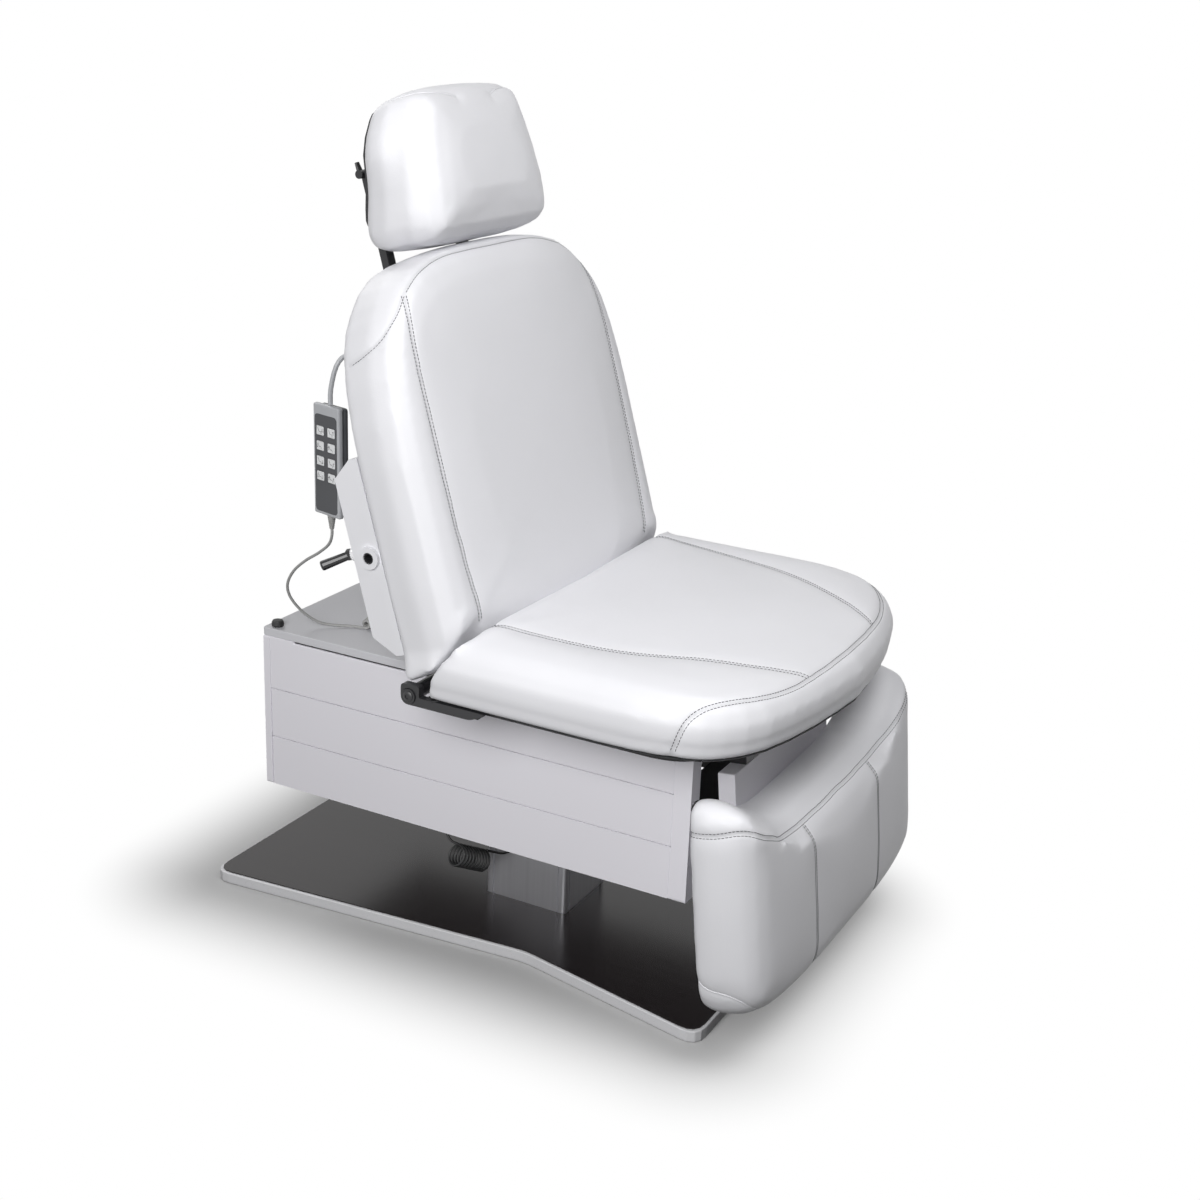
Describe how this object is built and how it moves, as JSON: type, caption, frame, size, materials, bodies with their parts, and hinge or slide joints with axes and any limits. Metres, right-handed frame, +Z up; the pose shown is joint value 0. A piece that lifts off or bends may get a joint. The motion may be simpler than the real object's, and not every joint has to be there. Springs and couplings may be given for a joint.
{
  "type": "spa treatment chair",
  "caption": "White upholstered spa treatment chair on a lift column: reclining back, rising leg rest, adjustable head rest, hand control on a curly cord.",
  "frame": {"origin": "on the floor under the axis of the lift column", "axes": "+Z up, -Y to the front where the sitter faces, +X to the sitter's left"},
  "size_m": [0.6809, 1.0029, 1.2645],
  "materials": {
    "upholstery": "white faux leather over foam, soft sheen",
    "white_panel": "white satin panel",
    "white_steel": "white powder coat",
    "black_steel": "black powder coat",
    "black_board": "plywood with black lining",
    "stainless": "dark brushed stainless sheet",
    "aluminium": "anodised extrusion",
    "bright_steel": "bright plated steel",
    "rubber": "black rubber",
    "black_plastic": "black moulded plastic",
    "grey_plastic": "light grey moulded plastic",
    "dark_plastic": "charcoal moulded plastic",
    "key_plastic": "white key caps"
  },
  "bodies": {
    "base": {"base_plate": "white_steel", "base_cover": "stainless", "column_outer": "aluminium", "lift_nut_tube": "bright_steel"},
    "lift_middle": {"column_middle": "aluminium"},
    "lift_head": {"column_inner": "aluminium", "lift_drive": "bright_steel", "chassis_frame": "black_steel", "deck": "white_panel", "rear_end_panel": "white_panel", "front_end_frame": "white_panel", "side_panel_right_upper": "white_panel", "side_panel_right_middle": "white_panel", "side_panel_right_lower": "white_panel", "side_panel_left_upper": "white_panel", "side_panel_left_middle": "white_panel", "side_panel_left_lower": "white_panel", "deck_bumper_right": "rubber", "deck_bumper_left": "rubber", "control_box": "black_plastic", "seat_board": "black_board", "seat_cushion": "upholstery", "seat_hinge_right": "black_steel", "seat_hinge_left": "black_steel", "back_actuator": "black_plastic", "leg_actuator": "black_plastic", "handset_coil": "grey_plastic", "deck_gland": "black_plastic", "handset_cord": "grey_plastic", "power_cord": "black_plastic"},
    "back_rod": {"back_actuator_rod": "bright_steel"},
    "leg_slide": {"leg_carriage": "black_steel", "leg_actuator_rod": "bright_steel"},
    "leg_rest": {"leg_yoke": "black_steel", "leg_board": "white_panel", "leg_cushion": "upholstery"},
    "backrest": {"back_frame": "black_steel", "back_board": "black_board", "back_cushion": "upholstery", "arm_bracket_right": "white_steel", "arm_bracket_left": "white_steel", "headrest_guide": "black_plastic", "handset_hanger": "black_steel", "handset_rear_shell": "dark_plastic", "handset_front_shell": "grey_plastic", "handset_strain_relief": "grey_plastic"},
    "head_slide": {"headrest_posts": "bright_steel"},
    "head_rest": {"headrest_cover": "black_plastic", "headrest_cushion": "upholstery"},
    "head_lever": {"headrest_lever": "grey_plastic"},
    "clamp_right": {"clamp_lever_right": "bright_steel"},
    "clamp_left": {"clamp_lever_left": "bright_steel"},
    "key_lift_up_cap": {"key_lift_up": "key_plastic"},
    "key_lift_down_cap": {"key_lift_down": "key_plastic"},
    "key_back_up_cap": {"key_back_up": "key_plastic"},
    "key_back_down_cap": {"key_back_down": "key_plastic"},
    "key_leg_up_cap": {"key_leg_up": "key_plastic"},
    "key_leg_down_cap": {"key_leg_down": "key_plastic"},
    "key_both_up_cap": {"key_both_up": "key_plastic"},
    "key_both_down_cap": {"key_both_down": "key_plastic"}
  },
  "joints": [
    {"name": "lift", "type": "slide", "parent": "base", "child": "lift_head", "axis": [0, 0, 1], "range_m": [0, 0.27]},
    {"name": "lift_stage", "type": "slide", "parent": "base", "child": "lift_middle", "axis": [0, 0, 1], "range_m": [0, 0.135]},
    {"name": "back_recline", "type": "hinge", "parent": "lift_head", "child": "backrest", "pos_m": [0, 0.042, 0.459], "axis": [-1, 0, 0], "range_deg": [0, 73], "deforming": ["handset_cord"]},
    {"name": "back_rod_slide", "type": "slide", "parent": "lift_head", "child": "back_rod", "axis": [0, -1, 0], "range_m": [0, 0.06]},
    {"name": "leg_carriage_slide", "type": "slide", "parent": "lift_head", "child": "leg_slide", "axis": [0, -1, 0], "range_m": [0, 0.1255]},
    {"name": "leg_raise", "type": "hinge", "parent": "leg_slide", "child": "leg_rest", "pos_m": [0, -0.385, 0.4206], "axis": [-1, 0, 0], "range_deg": [0, 80]},
    {"name": "head_height", "type": "slide", "parent": "backrest", "child": "head_slide", "axis": [0, 0.2807, 0.9598], "range_m": [0, 0.1]},
    {"name": "head_tilt", "type": "hinge", "parent": "head_slide", "child": "head_rest", "pos_m": [0, 0.27311, 1.13532], "axis": [-1, 0, 0], "range_deg": [0, 40]},
    {"name": "head_lever_turn", "type": "hinge", "parent": "head_slide", "child": "head_lever", "pos_m": [-0.1158, 0.27311, 1.13532], "axis": [-1, 0, 0], "range_deg": [0, 60]},
    {"name": "clamp_right_turn", "type": "hinge", "parent": "backrest", "child": "clamp_right", "pos_m": [-0.296, 0.16204, 0.63436], "axis": [0, -0.9598, 0.2807], "range_deg": [0, 90]},
    {"name": "clamp_left_turn", "type": "hinge", "parent": "backrest", "child": "clamp_left", "pos_m": [0.296, 0.16204, 0.63436], "axis": [0, 0.9598, -0.2807], "range_deg": [0, 90]},
    {"name": "key_lift_up_press", "type": "slide", "parent": "backrest", "child": "key_lift_up_cap", "axis": [0.972, -0.2351, 0], "range_m": [0, 0.001], "stiffness_N_per_m": 400},
    {"name": "key_lift_down_press", "type": "slide", "parent": "backrest", "child": "key_lift_down_cap", "axis": [0.972, -0.2351, 0], "range_m": [0, 0.001], "stiffness_N_per_m": 400},
    {"name": "key_back_up_press", "type": "slide", "parent": "backrest", "child": "key_back_up_cap", "axis": [0.972, -0.2351, 0], "range_m": [0, 0.001], "stiffness_N_per_m": 400},
    {"name": "key_back_down_press", "type": "slide", "parent": "backrest", "child": "key_back_down_cap", "axis": [0.972, -0.2351, 0], "range_m": [0, 0.001], "stiffness_N_per_m": 400},
    {"name": "key_leg_up_press", "type": "slide", "parent": "backrest", "child": "key_leg_up_cap", "axis": [0.972, -0.2351, 0], "range_m": [0, 0.001], "stiffness_N_per_m": 400},
    {"name": "key_leg_down_press", "type": "slide", "parent": "backrest", "child": "key_leg_down_cap", "axis": [0.972, -0.2351, 0], "range_m": [0, 0.001], "stiffness_N_per_m": 400},
    {"name": "key_both_up_press", "type": "slide", "parent": "backrest", "child": "key_both_up_cap", "axis": [0.972, -0.2351, 0], "range_m": [0, 0.001], "stiffness_N_per_m": 400},
    {"name": "key_both_down_press", "type": "slide", "parent": "backrest", "child": "key_both_down_cap", "axis": [0.972, -0.2351, 0], "range_m": [0, 0.001], "stiffness_N_per_m": 400}
  ],
  "couplings": [
    {"joint": "lift_stage", "follows": "lift", "ratio": 0.5},
    {"joint": "back_rod_slide", "follows": "back_recline", "m_per_rad": 0.046686},
    {"joint": "leg_carriage_slide", "follows": "leg_raise", "m_per_rad": 0.089525}
  ]
}
